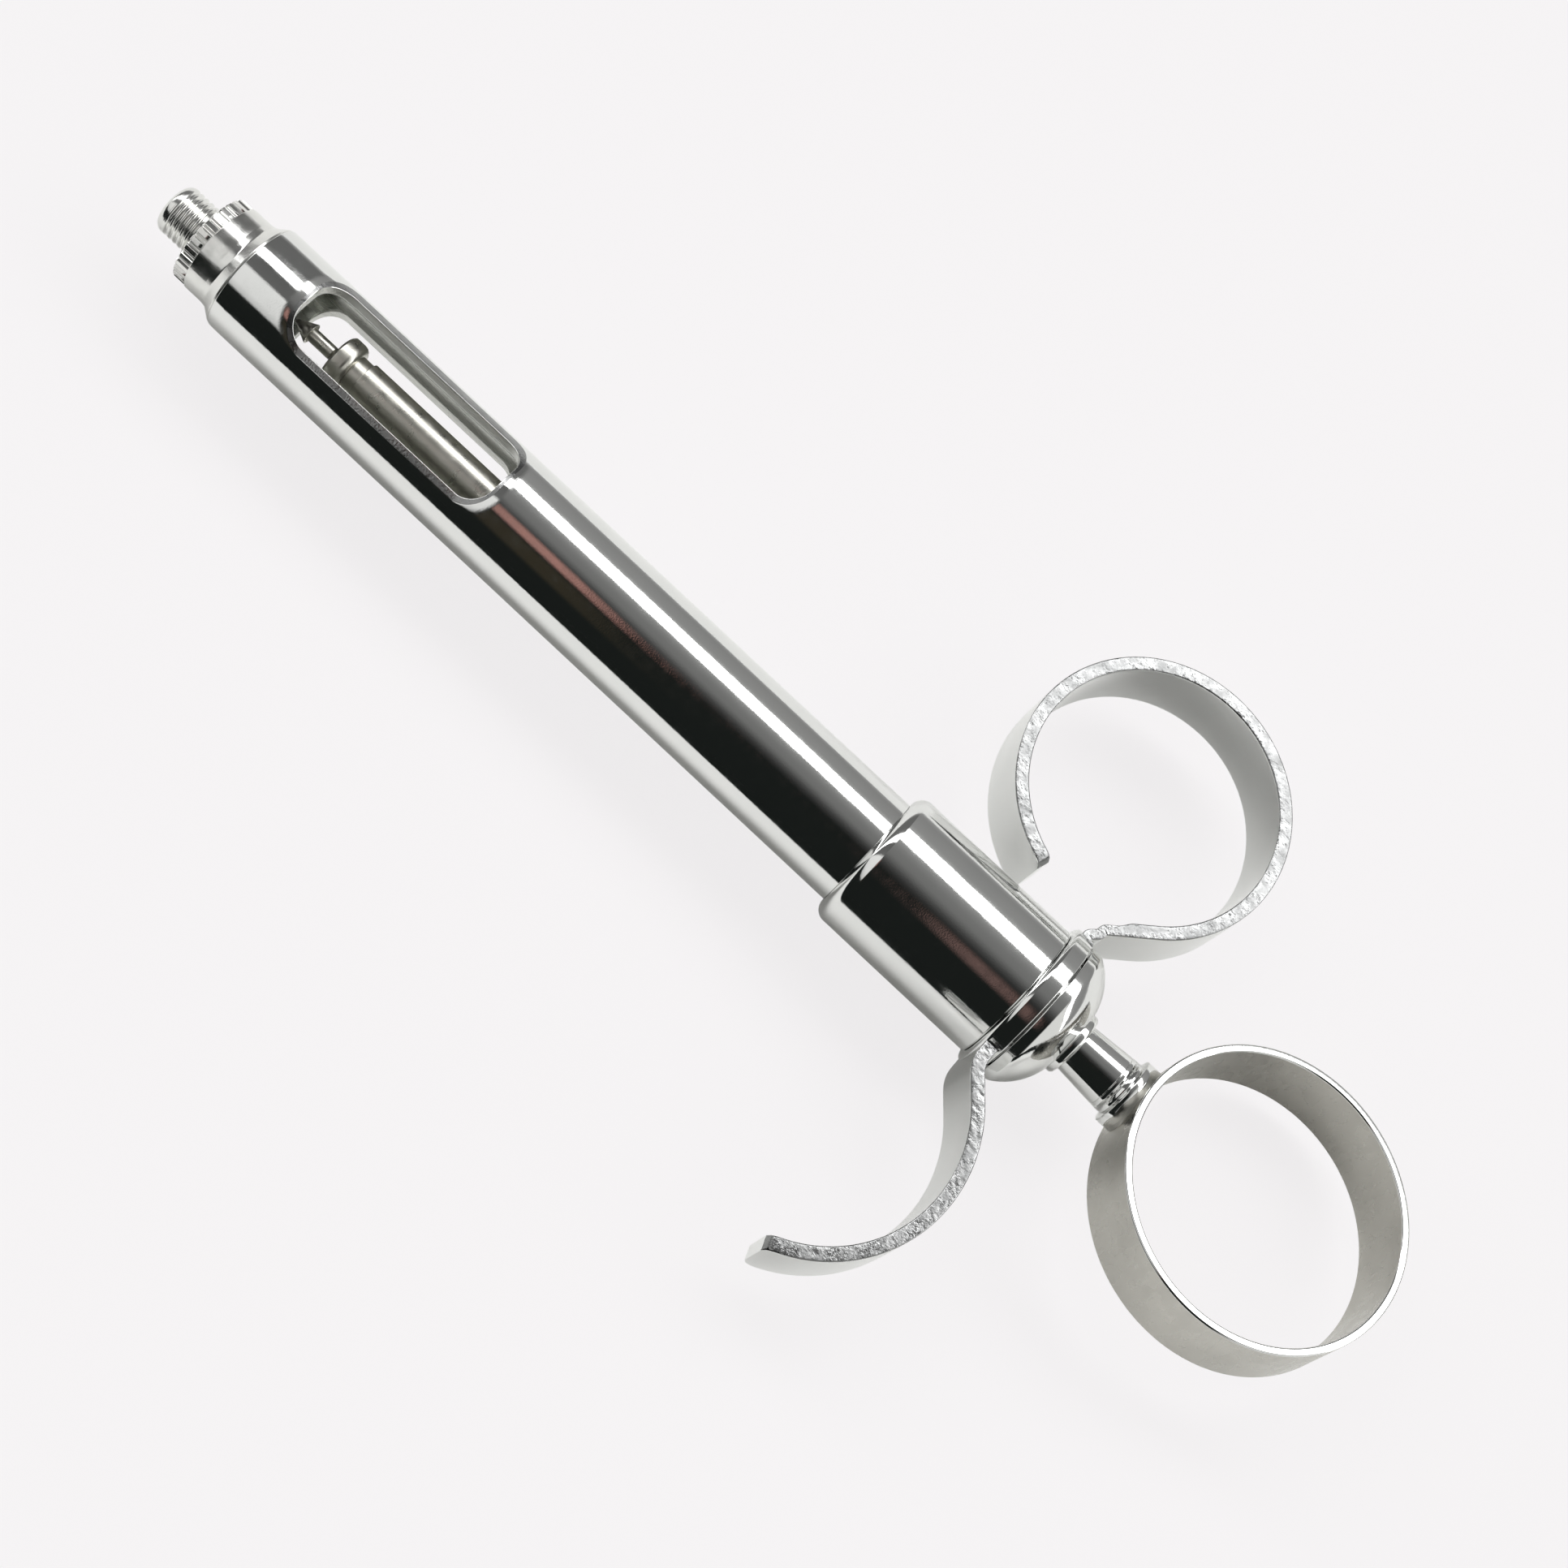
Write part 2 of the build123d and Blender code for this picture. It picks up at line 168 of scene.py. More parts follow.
# Plunger
ROD_NECK_DEPTH = 0.25
ROD_NECK_LENGTH = 1.3
ROD_TAP_R = 0.6
TIP_HOLE_R = 0.5
TIP_SCREW_R = 1.2
TIP_SCREW_LENGTH = 1.0
TIP_FRONT_CHAMFER = 0.25
TIP_REAR_RADIUS = 0.8
HARPOON_SHAFT_R = 0.75
HARPOON_SHAFT_LENGTH = 3.2
HARPOON_NECK_R = 0.55
HARPOON_NECK_LENGTH = 0.6
HARPOON_NECK_RUNOUT = 0.3
HARPOON_BARB_UNDERCUT = 0.6
SLEEVE_FRONT_WALL = 0.55
SLEEVE_SEAM_AHEAD = 0.6
SLEEVE_SEAM_DEPTH = 0.07
SLEEVE_SEAM_HALF = 0.06
BOSS_NECK_LENGTH = 0.7
BOSS_FLARE_LENGTH = 0.15

# Thumb ring
THUMB_RING_D = 31.5
THUMB_RING_WALL = 0.85
THUMB_RING_WIDTH = 8.35
THUMB_RING_TURN = -9.2
THUMB_RING_EDGE_RADIUS = 0.2
THUMB_RING_SIDES = 240


def extent(node):
    """Front end, rear end and radius of a round CAD node, in millimetres."""
    low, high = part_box(node)
    return low.x / MM, high.x / MM, (high.y - low.y) / 2 / MM


THREAD_FRONT, ADAPTER_REAR, _ = extent("needle_adapter")
BARREL_FRONT, BARREL_PLUG_REAR, BARREL_R = extent("barrel")
BARREL_REAR, HOUSING_REAR, HOUSING_R = extent("housing")
CAP_FRONT, CAP_REAR, CAP_R = extent("rear_cap")
BUSH_FRONT, BUSH_REAR, BUSH_COLLAR_R = extent("guide_bush")
ROD_FRONT, ROD_REAR, ROD_R = extent("plunger_rod")
TIP_FRONT, _, TIP_R = extent("plunger_tip")
HARPOON_FRONT, HARPOON_REAR, HARPOON_R = extent("harpoon")
SLEEVE_FRONT, SLEEVE_REAR, SLEEVE_R = extent("stop_sleeve")
BOSS_FRONT, BOSS_REAR, BOSS_R = extent("ring_boss")
THUMB_RING_FRONT, THUMB_RING_REAR, _ = extent("thumb_ring")
PLATE_REAR = HOUSING_REAR + PLATE_THICKNESS
THUMB_RING_CENTRE = (THUMB_RING_FRONT + THUMB_RING_REAR) / 2


def rotated(direction, angle):
    """A flat direction turned anticlockwise by an angle in radians."""
    c, s = math.cos(angle), math.sin(angle)
    return np.array([c * direction[0] - s * direction[1], s * direction[0] + c * direction[1]])


def unit(vector):
    """The vector at length one."""
    return vector / max(np.linalg.norm(vector), 1e-12)


def rounded(corners, closed=True, steps=4):
    """Points along an outline of (x, y, rounding) corners, each corner turned into a small arc."""
    points = []
    count = len(corners)
    for i, (x, y, rounding) in enumerate(corners):
        here = np.array([x, y], float)
        if not rounding or (not closed and i in (0, count - 1)):
            points.append(here)
            continue
        before = np.array(corners[i - 1][:2], float)
        after = np.array(corners[(i + 1) % count][:2], float)
        way_in, way_out = unit(here - before), unit(after - here)
        turn = math.atan2(way_in[0] * way_out[1] - way_in[1] * way_out[0], way_in @ way_out)
        if abs(turn) < 1e-3:
            points.append(here)
            continue
        side = math.copysign(1, turn)
        start = here - way_in * rounding * math.tan(abs(turn) / 2)
        centre = start + rotated(way_in, side * math.pi / 2) * rounding
        for k in range(steps + 1):
            heading = rotated(way_in, turn * k / steps)
            points.append(centre - rotated(heading, side * math.pi / 2) * rounding)
    return np.array(points)


def arc(centre, radius, start, end, spacing):
    """Points along an arc, with angles in degrees."""
    count = max(int(abs(math.radians(end - start)) * radius / spacing), 2)
    angles = np.radians(np.linspace(start, end, count + 1))
    return np.stack([centre[0] + radius * np.cos(angles), centre[1] + radius * np.sin(angles)], 1)


def divided(points, spacing):
    """The same path with points added along its long straight runs."""
    out = [points[0]]
    for a, b in zip(points[:-1], points[1:]):
        count = max(int(np.linalg.norm(b - a) / spacing), 1)
        out += [a + (b - a) * k / count for k in range(1, count + 1)]
    return np.array(out)


def grid_normals(grid, closed_rows, closed_columns):
    """Normals of a grid of points, from the neighbours on both sides of each point."""
    along = np.roll(grid, -1, 0) - np.roll(grid, 1, 0)
    across = np.roll(grid, -1, 1) - np.roll(grid, 1, 1)
    if not closed_rows:
        along[0], along[-1] = grid[1] - grid[0], grid[-1] - grid[-2]
    if not closed_columns:
        across[:, 0], across[:, -1] = grid[:, 1] - grid[:, 0], grid[:, -1] - grid[:, -2]
    normals = np.cross(along, across)
    lengths = np.linalg.norm(normals, axis=2, keepdims=True)
    return normals / np.maximum(lengths, 1e-12)


class Shape:
    """A mesh in the making: grids of points with their normals and material numbers."""

    def __init__(self):
        self.points, self.normals, self.faces, self.slots = [], [], [], []

    def add_grid(self, grid, closed_rows=False, closed_columns=True, slots=0, normals=None):
        """Adds a grid of rows and columns. slots is one material number, or one for each row of faces."""
        rows, columns = grid.shape[:2]
        found = grid_normals(grid, closed_rows, closed_columns)
        if normals is not None:
            known = ~np.isnan(normals[..., 0])
            found[known] = normals[known]
        start = len(self.points)
        self.points += list(grid.reshape(-1, 3))
        self.normals += list(found.reshape(-1, 3))
        for i in range(rows if closed_rows else rows - 1):
            for j in range(columns if closed_columns else columns - 1):
                i2, j2 = (i + 1) % rows, (j + 1) % columns
                corners = (i * columns + j, i2 * columns + j, i2 * columns + j2, i * columns + j2)
                self.faces.append([start + c for c in corners])
                self.slots.append(slots if isinstance(slots, int) else int(slots[i]))

    def moved(self, matrix):
        """Turns and moves what has been added."""
        turn = np.array(matrix.to_3x3())
        shift = np.array(matrix.translation)
        self.points = [turn @ p + shift for p in self.points]
        self.normals = [turn @ n for n in self.normals]
        return self

    def piece(self, name, body, materials, replaced=(), slot=None):
        """Makes the Blender object, which rides on a body and may stand for CAD nodes."""
        keys, order, points, normals = {}, [], [], []
        for p, n in zip(self.points, self.normals):
            key = tuple(np.round(p, 5)) + tuple(np.round(n, 2))
            if key not in keys:
                keys[key] = len(points)
                points.append(p)
                normals.append(n)
            order.append(keys[key])
        faces, slots = [], []
        for face, number in zip(self.faces, self.slots):
            corners = list(dict.fromkeys(order[c] for c in face))
            if len(corners) > 2:
                faces.append(corners)
                slots.append(number)
        mesh = bpy.data.meshes.new(name)
        mesh.from_pydata((np.array(points) * MM).tolist(), [], faces)
        mesh.polygons.foreach_set("use_smooth", [True] * len(faces))
        mesh.polygons.foreach_set("material_index", slots)
        mesh.normals_split_custom_set_from_vertices([tuple(n) for n in normals])
        for material in materials:
            mesh.materials.append(material)
        made = bpy.data.objects.new(name, mesh)
        bpy.context.scene.collection.objects.link(made)
        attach(made, body)
        if replaced:
            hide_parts(*replaced)
        return made


def turned_grid(outline, angles=None, warp=None):
    """Grid of points of an outline of (x, radius) turned about X."""
    if angles is None:
        angles = np.linspace(0, 2 * math.pi, RADIAL, endpoint=False)
    x = np.repeat(outline[:, :1], len(angles), 1)
    r = np.repeat(outline[:, 1:], len(angles), 1)
    a = np.repeat(angles[None], len(outline), 0)
    if warp:
        x, r = warp(x, r, a)
    return np.stack([x, r * np.cos(a), r * np.sin(a)], 2)


def turned(shape, corners, closed=True, steps=4, angles=None, warp=None, slots=0):
    """Adds an outline of (x, radius, rounding) corners turned about X."""
    outline = rounded(corners, closed, steps)
    grid = turned_grid(outline, angles, warp)
    normals = np.full(grid.shape, np.nan)
    if not closed:
        for row in (0, -1):
            if outline[row][1] < ON_AXIS:
                ahead = math.copysign(1, outline[row][0] - np.mean(outline[:, 0]))
                normals[row] = (ahead, 0, 0)
    shape.add_grid(grid, closed_rows=closed, slots=slots, normals=normals)
    return shape


# Materials
def new_material(name):
    """Empty material with its shader, its node tree and its texture coordinates."""
    material = bpy.data.materials.new(name)
    material.use_nodes = True
    tree = material.node_tree
    shader = tree.nodes["Principled BSDF"]
    place = tree.nodes.new("ShaderNodeTexCoord").outputs["Object"]
    return material, tree, shader, place


def noise_node(tree, place, scale, detail=2.0, stretch=(1, 1, 1), rough=0.5):
    """Noise at a scale in cells per metre, stretched along the axes."""
    mapping = tree.nodes.new("ShaderNodeMapping")
    mapping.inputs["Scale"].default_value = stretch
    tree.links.new(place, mapping.inputs["Vector"])
    texture = tree.nodes.new("ShaderNodeTexNoise")
    texture.inputs["Scale"].default_value = scale
    texture.inputs["Detail"].default_value = detail
    texture.inputs["Roughness"].default_value = rough
    tree.links.new(mapping.outputs["Vector"], texture.inputs["Vector"])
    return texture.outputs["Fac"]


def ranged(tree, value, low, high, out_low, out_high):
    """A value's stretch from low to high mapped to another, and clamped."""
    node = tree.nodes.new("ShaderNodeMapRange")
    for name, number in (("From Min", low), ("From Max", high), ("To Min", out_low), ("To Max", out_high)):
        node.inputs[name].default_value = number
    tree.links.new(value, node.inputs["Value"])
    return node.outputs["Result"]


def bump(tree, height, distance, strength=1.0, under=None):
    """Bump of a height in metres, on top of another bump if one is given."""
    node = tree.nodes.new("ShaderNodeBump")
    node.inputs["Strength"].default_value = strength
    node.inputs["Distance"].default_value = distance
    tree.links.new(height, node.inputs["Height"])
    if under:
        tree.links.new(under, node.inputs["Normal"])
    return node.outputs["Normal"]


def blended(tree, share, low, high):
    """Mix of two colours by a share."""
    node = tree.nodes.new("ShaderNodeMix")
    node.data_type = "RGBA"
    node.inputs["A"].default_value = (*low, 1)
    node.inputs["B"].default_value = (*high, 1)
    tree.links.new(share, node.inputs["Factor"])
    return node.outputs["Result"]


def metal(name, dark, light, rough_low, rough_high, grain, grain_height, wave_height, stretch=(1, 1, 1)):
    """Metal with a faint mottle, a varied roughness, a fine grain and a slow wave in its polish."""
    material, tree, shader, place = new_material(name)
    shader.inputs["Metallic"].default_value = 1.0
    mottle = noise_node(tree, place, 260, 3)
    tree.links.new(blended(tree, mottle, dark, light), shader.inputs["Base Color"])
    smear = noise_node(tree, place, 900, 4, stretch)
    tree.links.new(ranged(tree, smear, 0.35, 0.7, rough_low, rough_high), shader.inputs["Roughness"])
    wave = bump(tree, noise_node(tree, place, 120, 1), wave_height)
    fine = bump(tree, noise_node(tree, place, grain, 3, stretch), grain_height, under=wave)
    tree.links.new(fine, shader.inputs["Normal"])
    return material


chrome = metal(
    "chrome", (0.78, 0.79, 0.78), (0.83, 0.83, 0.82),
    rough_low=0.05, rough_high=0.1, grain=6000, grain_height=0.0000025, wave_height=0.00002,
)
bore = metal(
    "bore", (0.42, 0.43, 0.4), (0.55, 0.56, 0.52), stretch=(0.08, 1, 1),
    rough_low=0.2, rough_high=0.34, grain=3500, grain_height=0.000006, wave_height=0.00003,
)
cut_wall = metal(
    "cut_wall", (0.45, 0.46, 0.43), (0.6, 0.6, 0.57), stretch=(0.12, 1, 1),
    rough_low=0.2, rough_high=0.34, grain=4200, grain_height=0.00001, wave_height=0.00003,
)
satin = metal(
    "satin", (0.5, 0.485, 0.45), (0.6, 0.585, 0.545), stretch=(1, 0.4, 0.4),
    rough_low=0.24, rough_high=0.34, grain=6000, grain_height=0.000004, wave_height=0.000008,
)
cut_edge = metal(
    "cut_edge", (0.16, 0.165, 0.165), (0.42, 0.42, 0.42),
    rough_low=0.16, rough_high=0.4, grain=4200, grain_height=0.00003, wave_height=0.00003,
)
adapter_metal = metal(
    "adapter", (0.76, 0.76, 0.74), (0.84, 0.84, 0.82),
    rough_low=0.14, rough_high=0.24, grain=4200, grain_height=0.000003, wave_height=0.00002,
)
rod_metal = metal(
    "rod", (0.52, 0.51, 0.46), (0.66, 0.65, 0.6), stretch=(1, 0.6, 0.6),
    rough_low=0.26, rough_high=0.38, grain=7000, grain_height=0.00001, wave_height=0.000008,
)


# Needle adapter
def thread_warp(x, r, a):
    """Cuts the thread's soft grooves into the front stub."""
    phase = (x / THREAD_PITCH - a / (2 * math.pi)) % 1.0
    groove = 0.5 - 0.5 * np.cos(2 * math.pi * phase)
    groove = groove ** THREAD_SHARPNESS
    start = THREAD_FRONT + THREAD_SMOOTH_END
    fade = np.clip((x - start) / THREAD_FADE_IN, 0, 1) * np.clip((-THREAD_CLEAR - x) / THREAD_FADE_OUT, 0, 1)
    threaded = (r > THREAD_R - 0.02) & (x < 0)
    return x, np.where(threaded, r - THREAD_DEPTH * groove * fade, r)


def knurl_angles():
    """Angles at the corners of the knurl's lands and grooves."""
    shares = (0.0, 0.04, 0.24, 0.44, 0.48, 0.54, 0.64, 0.74, 0.84, 0.94)
    step = 2 * math.pi / KNURL_TEETH
    return np.array([(tooth + share) * step for tooth in range(KNURL_TEETH) for share in shares])


def knurl_warp(x, r, a):
    """Cuts the hollow grooves between the knurl's lands."""
    share = (a / (2 * math.pi) * KNURL_TEETH) % 1.0
    places = (0, 0.48, 0.54, 0.64, 0.74, 0.84, 0.94, 1.0)
    depths = (0, 0, 0.55, 0.93, 1, 0.93, 0.55, 0)
    depth = np.interp(share, places, depths)
    rim = (r > KNURL_D / 2 - KNURL_DEPTH) & (x > -0.01) & (x < KNURL_LENGTH - 0.01)
    return x, np.where(rim, r - KNURL_DEPTH * depth, r)


def adapter_warp(x, r, a):
    """Thread and knurl in one."""
    x, r = thread_warp(x, r, a)
    return knurl_warp(x, r, a)


def make_adapter():
    """Threaded stub, knurled collar and flared nose."""
    hole = NEEDLE_HOLE_D / 2
    nose_end = KNURL_LENGTH + NOSE_LENGTH
    plug_r = BARREL_BORE_D / 2 + ADAPTER_PLUG_STEP
    thread_end = THREAD_FRONT + THREAD_END_RADIUS
    thread = [(x, THREAD_R, 0) for x in np.arange(-0.1, thread_end, -THREAD_PITCH / 12)]
    shape = turned(Shape(), [
        (THREAD_FRONT, hole, 0.12),
        (ADAPTER_REAR, hole, 0),
        (ADAPTER_REAR, plug_r, 0),
        (BARREL_FRONT, plug_r, 0),
        (BARREL_FRONT, BARREL_R - FLARE_STEP - 0.12, 0.05),
        (BARREL_FRONT - 0.12, BARREL_R - FLARE_STEP - 0.02, 0.08),
        (nose_end + 0.3, NOSE_D / 2 + 0.12, 0.6),
        (nose_end - 0.4, NOSE_D / 2, 0.3),
        (KNURL_LENGTH, NOSE_D / 2, 0.08),
        (KNURL_LENGTH, NOSE_D / 2 - KNURL_DEPTH - 0.03, 0),
        (KNURL_LENGTH - 0.02, KNURL_D / 2, 0),
        (KNURL_LENGTH - 0.5, KNURL_D / 2, 0),
        (0.5, KNURL_D / 2, 0),
        (0.12, KNURL_D / 2, 0.1),
        (0.02, KNURL_D / 2 - 0.12, 0.05),
        (0, THREAD_R, 0),
        *thread,
        (THREAD_FRONT, THREAD_R, THREAD_END_RADIUS),
    ], angles=knurl_angles(), warp=adapter_warp, steps=6)
    shape.piece("needle_adapter_body", "barrel", [adapter_metal], ["needle_adapter"], "chrome")


# Barrel with its windows
def window_outline(front, rear, samples_end, samples_side):
    """Slot outline as (x, y), anticlockwise seen from above, in four stretches of samples."""
    half = BARREL_BORE_D / 2 - WINDOW_LEDGE
    front_r = half - WINDOW_FRONT_FLAT / 2
    rear_r = half - WINDOW_REAR_FLAT / 2
    spacing = 0.02
    fine = divided(np.concatenate([
        [(front, 0)],
        arc((front + front_r, front_r - half), front_r, 180, 270, spacing),
        arc((rear - rear_r, rear_r - half), rear_r, -90, 0, spacing),
        arc((rear - rear_r, half - rear_r), rear_r, 0, 90, spacing),
        arc((front + front_r, half - front_r), front_r, 90, 180, spacing),
        [(front, 0)],
    ]), spacing)
    steps = np.linalg.norm(np.diff(fine, axis=0), axis=1)
    run = np.concatenate([[0], np.cumsum(steps)])
    whole = run[-1]
    front_share = half - front_r + front_r * math.radians(WINDOW_CORNER_SHARE)
    rear_share = half - rear_r + rear_r * math.radians(WINDOW_CORNER_SHARE)
    middle = whole / 2
    marks = (-front_share, front_share, middle - rear_share, middle + rear_share, whole - front_share)
    counts = (samples_end, samples_side, samples_end, samples_side)
    places = np.concatenate([
        np.linspace(marks[k], marks[k + 1], counts[k], endpoint=False) for k in range(4)
    ]) % whole
    return np.stack([np.interp(places, run, fine[:, k]) for k in (0, 1)], 1)


def window_frame(x_from, x_to, low, high, samples_end, samples_side):
    """Outer border of the patch round a window, as places along and round the barrel."""
    ends = np.linspace(high, low, samples_end, endpoint=False)
    ends_back = np.linspace(low, high, samples_end, endpoint=False)
    sides = np.linspace(x_from, x_to, samples_side, endpoint=False)
    step = sides[1] - sides[0]
    along = np.concatenate([
        np.full(samples_end, x_from), sides, np.full(samples_end, x_to), sides[::-1] + step,
    ])
    around = np.concatenate([ends, np.full(samples_side, low), ends_back, np.full(samples_side, high)])
    return along, around


def on_tube(x, angle, radius):
    """Points round the barrel's axis, with angles from straight up towards +Y."""
    return np.stack([x, radius * np.sin(angle), radius * np.cos(angle)], 1)


def rim_section(away):
    """Section of a window's rim, as (distance from the slot, drop, material) rows going inwards."""
    sideways = away[:, 1] ** 2
    widest = np.where(away[:, 1] > 0, WINDOW_BEVEL_WIDTH_WIDE, WINDOW_BEVEL_WIDTH_SIDE)
    bevel = WINDOW_BEVEL_WIDTH_END + (widest - WINDOW_BEVEL_WIDTH_END) * sideways
    fall = WINDOW_BEVEL_DROP_END + (WINDOW_BEVEL_DROP_SIDE - WINDOW_BEVEL_DROP_END) * sideways
    edge = WINDOW_EDGE_RADIUS
    slope = fall / (bevel - edge)
    rows = []
    for share in np.linspace(0, 1, ROLL_ROWS):
        width = bevel + WINDOW_ROLL_WIDTH * (1 - share)
        rows.append((width, WINDOW_ROLL_DROP * share ** 2, EDGE_SLOT if share == 1 else CHROME_SLOT))
    for share in np.linspace(0, 1, BEVEL_ROWS)[1:]:
        width = edge + (bevel - edge) * (1 - share)
        drop = WINDOW_ROLL_DROP + (bevel - width) * slope
        rows.append((width, drop, CHROME_SLOT if share == 1 else EDGE_SLOT))
    drop = WINDOW_ROLL_DROP + (bevel - edge) * slope
    for share in np.linspace(0, 1, EDGE_ROWS)[1:]:
        angle = share * math.pi / 2
        width = np.full(len(bevel), edge * (1 - math.sin(angle)))
        rows.append((width, drop + edge * (1 - math.cos(angle)), WALL_SLOT if share == 1 else CHROME_SLOT))
    return rows


def window_half(shape, front, rear, x_from, x_to, seams, turn):
    """The barrel round one window, from one seam to the other: outside, bevel, cut face and bore."""
    slot = window_outline(front, rear, *WINDOW_SAMPLES)
    frame_x, frame_a = window_frame(x_from, x_to, *seams, *WINDOW_SAMPLES)
    inner_r = BARREL_BORE_D / 2
    outer = np.stack([slot[:, 0], BARREL_R * np.arcsin(slot[:, 1] / BARREL_R)], 1)
    tangent = np.roll(outer, -1, 0) - np.roll(outer, 1, 0)
    away = np.stack([tangent[:, 1], -tangent[:, 0]], 1)
    away /= np.linalg.norm(away, axis=1, keepdims=True)
    section = rim_section(away)
    rows, radial_side, slots = [], [], []

    def add(points, side, number):
        rows.append(points)
        radial_side.append(side)
        slots.append(number)

    start = outer + away * section[0][0][:, None]
    for share in np.linspace(0, 1, OUTSIDE_ROWS, endpoint=False):
        x = frame_x + (start[:, 0] - frame_x) * share
        angle = frame_a + (start[:, 1] / BARREL_R - frame_a) * share
        add(on_tube(x, angle, BARREL_R), 1, CHROME_SLOT)
    for i, (width, drop, number) in enumerate(section):
        place = outer + away * width[:, None]
        add(on_tube(place[:, 0], place[:, 1] / BARREL_R, BARREL_R - drop), 1 if i == 0 else 0, number)
    lip = rows[-1].copy()
    inner_angle = np.arcsin(np.clip(slot[:, 1] / inner_r, -1, 1))
    inner_edge = on_tube(slot[:, 0], inner_angle, inner_r)
    for share in np.linspace(0, 1, WALL_ROWS)[1:]:
        add(lip + (inner_edge - lip) * share, 0, BORE_SLOT if share == 1 else WALL_SLOT)
    for share in np.linspace(0, 1, BORE_ROWS)[1:]:
        x = slot[:, 0] + (frame_x - slot[:, 0]) * share
        add(on_tube(x, inner_angle + (frame_a - inner_angle) * share, inner_r), -1, BORE_SLOT)
    grid = np.array(rows)
    radial = grid * (0, 1, 1)
    radial /= np.linalg.norm(radial, axis=2, keepdims=True)
    normals = np.full(grid.shape, np.nan)
    for i, side in enumerate(radial_side):
        if side:
            normals[i] = radial[i] * side
    c, s = math.cos(turn), math.sin(turn)
    spin = np.array([[1, 0, 0], [0, c, -s], [0, s, c]])
    shape.add_grid((grid @ spin.T)[:, ::-1], slots=slots, normals=(normals @ spin.T)[:, ::-1])


def make_barrel():
    """Polished tube with a viewing window through each side."""
    front = BARREL_FRONT + WINDOW_FROM_FRONT
    rear = front + WINDOW_LENGTH
    x_from = front - LOWER_WINDOW_LEAD - WINDOW_CLEAR_OF_ENDS
    x_to = rear + WINDOW_CLEAR_OF_ENDS
    near = math.radians(WINDOW_SEAM_ANGLE)
    far = math.pi - near
    shape = Shape()
    window_half(shape, front, rear, x_from, x_to, (-far, near), 0)
    lower_turn = math.pi + math.radians(LOWER_WINDOW_TURN)
    window_half(shape, front - LOWER_WINDOW_LEAD, rear, x_from, x_to, (-near, far), lower_turn)
    angles = math.pi / 2 - near + np.linspace(0, 2 * math.pi, 2 * WINDOW_SAMPLES[0], endpoint=False)
    bore_r = BARREL_BORE_D / 2
    socket_r = bore_r + ADAPTER_PLUG_STEP
    lip = [
        (BARREL_FRONT + BARREL_LIP_LENGTH * k / 6, BARREL_R - BARREL_LIP_DROP * (1 - k / 6) ** 2, 0)
        for k in range(6, 0, -1)
    ]
    front_end = [
        (x_from, BARREL_R, 0),
        *lip,
        (BARREL_FRONT + 0.12, BARREL_R - BARREL_LIP_DROP, 0.1),
        (BARREL_FRONT, BARREL_R - BARREL_LIP_DROP - 0.16, 0.08),
        (BARREL_FRONT, socket_r, 0.05),
        (ADAPTER_REAR, socket_r, 0),
        (ADAPTER_REAR, bore_r, 0),
        (x_from, bore_r, 0),
    ]
    plug_r = BARREL_R - BARREL_PLUG_STEP
    rear_end = [
        (x_to, bore_r, 0),
        (BARREL_PLUG_REAR, bore_r, 0.1),
        (BARREL_PLUG_REAR, plug_r, 0.2),
        (BARREL_REAR, plug_r, 0.05),
        (BARREL_REAR, BARREL_R, 0.1),
        (x_to, BARREL_R, 0),
    ]
    for corners in (front_end, rear_end):
        outline = rounded(corners, closed=False)
        grid = turned_grid(outline, angles)
        normals = np.full(grid.shape, np.nan)
        for row in (0, -1):
            side = 1 if outline[row][1] > BARREL_R - 0.01 else -1
            normals[row] = np.stack([0 * angles, side * np.cos(angles), side * np.sin(angles)], 1)
        shape.add_grid(grid, slots=CHROME_SLOT, normals=normals)
    shape.piece("barrel_tube", "barrel", [chrome, cut_edge, cut_wall, bore], ["barrel"], "chrome")


# Housing, cap and bush
def make_housing():
    """Polished sleeve behind the barrel."""
    socket_r = BARREL_R - HOUSING_SOCKET_STEP
    shape = turned(Shape(), [
        (BARREL_REAR, socket_r, 0.15),
        (BARREL_PLUG_REAR, socket_r, 0),
        (BARREL_PLUG_REAR, HOUSING_CHAMBER_R, 0),
        (HOUSING_REAR, HOUSING_CHAMBER_R, 0.1),
        (HOUSING_REAR, HOUSING_R, HOUSING_REAR_RADIUS),
        (BARREL_REAR, HOUSING_R, HOUSING_SHOULDER_RADIUS),
    ], steps=8)
    shape.piece("housing_sleeve", "housing", [chrome], ["housing"], "chrome")


